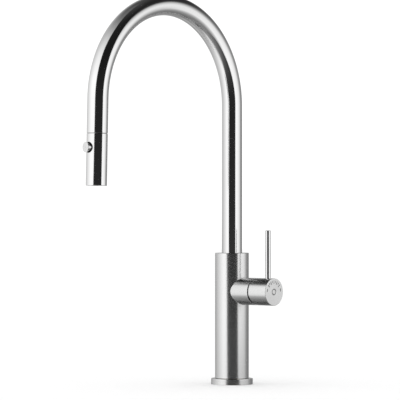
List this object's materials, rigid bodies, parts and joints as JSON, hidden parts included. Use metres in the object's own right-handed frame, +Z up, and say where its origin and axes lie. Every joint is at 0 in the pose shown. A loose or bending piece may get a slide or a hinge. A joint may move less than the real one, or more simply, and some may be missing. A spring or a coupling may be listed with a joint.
{
  "type": "pull down kitchen faucet",
  "caption": "Single-lever kitchen mixer tap: slim round column, swivelling high arc spout, pull-down spray head with a push button, and a side handle with a pin lever.",
  "frame": {"origin": "on the column's axis in the plane of the base ring's underside, at the centre of the tap hole in the worktop", "axes": "+Z up, the spout reaches towards -Y (the user's side), the handle's axis runs towards +X (the user's right)"},
  "size_m": [0.091, 0.27, 0.5831],
  "materials": {
    "brushed_stainless": "brushed stainless steel, lines round each tube",
    "plain_steel": "plain stainless steel",
    "brass": "machined brass",
    "copper_pipe": "drawn copper pipe",
    "rubber": "moulded rubber",
    "dark_plastic": "glass-filled plastic, matt",
    "acetal": "machined acetal, satin",
    "ceramic": "lapped ceramic",
    "magnet": "sintered magnet",
    "hose_braid": "braided nylon sleeve"
  },
  "bodies": {
    "column": {"base_ring": "brushed_stainless", "base_gasket": "rubber", "body_shell": "brushed_stainless", "valve_manifold": "brass", "hot_inlet_pipe": "copper_pipe", "cold_inlet_pipe": "copper_pipe", "outlet_pipe": "copper_pipe", "hot_inlet_union": "brass", "cold_inlet_union": "brass", "outlet_union": "brass", "threaded_shank": "brass", "clamp_gasket": "rubber", "clamp_washer": "plain_steel", "mounting_nut": "brass", "cartridge_seal": "rubber", "cartridge_base": "dark_plastic", "fixed_disc": "ceramic", "cartridge_housing": "dark_plastic", "cartridge_nut": "brass", "dome_ring": "dark_plastic", "upper_bush": "acetal", "lower_bush": "acetal", "stop_ring": "plain_steel", "hose_connector": "brass"},
    "handle_base": {"cartridge_carrier": "dark_plastic", "pivot_pin": "plain_steel"},
    "disc_pack": {"moving_disc": "ceramic", "disc_slider": "acetal"},
    "lever": {"cartridge_stem": "brass", "handle_cap": "brushed_stainless", "handle_rod": "brushed_stainless"},
    "spout": {"spout_tube": "brushed_stainless", "spout_collar": "brass", "retaining_clip": "plain_steel", "hose_guide": "acetal", "magnet_ring": "magnet", "docking_sleeve": "dark_plastic", "spray_hose": "hose_braid"},
    "hose_end": {"hose_ferrule": "brass"},
    "spray_head": {"strike_ring": "plain_steel", "dock_spigot": "dark_plastic", "head_shell": "brushed_stainless", "spray_waterway": "dark_plastic", "inlet_filter": "plain_steel", "check_valve": "acetal", "nozzle_ring": "rubber", "aerator": "plain_steel", "button_spring": "plain_steel"},
    "button": {"spray_button": "brushed_stainless", "diverter_plunger": "brass"}
  },
  "joints": [
    {"name": "spout_swivel", "type": "hinge", "parent": "column", "child": "spout", "pos_m": [0, 0, 0.1555], "axis": [0, 0, 1], "range_deg": [-75, 75]},
    {"name": "spray_pull", "type": "slide", "parent": "spout", "child": "hose_end", "axis": [0, -0.0262, -0.9997], "range_m": [0, 0.2], "stiffness_N_per_m": 12, "springref_m": -0.3, "deforming": ["spray_hose"]},
    {"name": "spray_turn", "type": "hinge", "parent": "hose_end", "child": "spray_head", "pos_m": [0, -0.22696, 0.33257], "axis": [0, -0.0262, -0.9997], "continuous": true},
    {"name": "button_press", "type": "slide", "parent": "spray_head", "child": "button", "axis": [0.1822, 0.9829, -0.0257], "range_m": [0, 0.0025], "stiffness_N_per_m": 800, "springref_m": -0.002, "deforming": ["button_spring"]},
    {"name": "handle_turn", "type": "hinge", "parent": "column", "child": "handle_base", "pos_m": [0, 0, 0.1104], "axis": [1, 0, 0], "range_deg": [-45, 45]},
    {"name": "handle_tilt", "type": "hinge", "parent": "handle_base", "child": "lever", "pos_m": [0.036, 0, 0.1104], "axis": [0, 1, 0], "range_deg": [0, 15]},
    {"name": "disc_slide", "type": "slide", "parent": "handle_base", "child": "disc_pack", "axis": [0, 0, 1], "range_m": [0, 0.0027]}
  ],
  "couplings": [
    {"joint": "disc_slide", "follows": "handle_tilt", "m_per_rad": 0.0102}
  ]
}
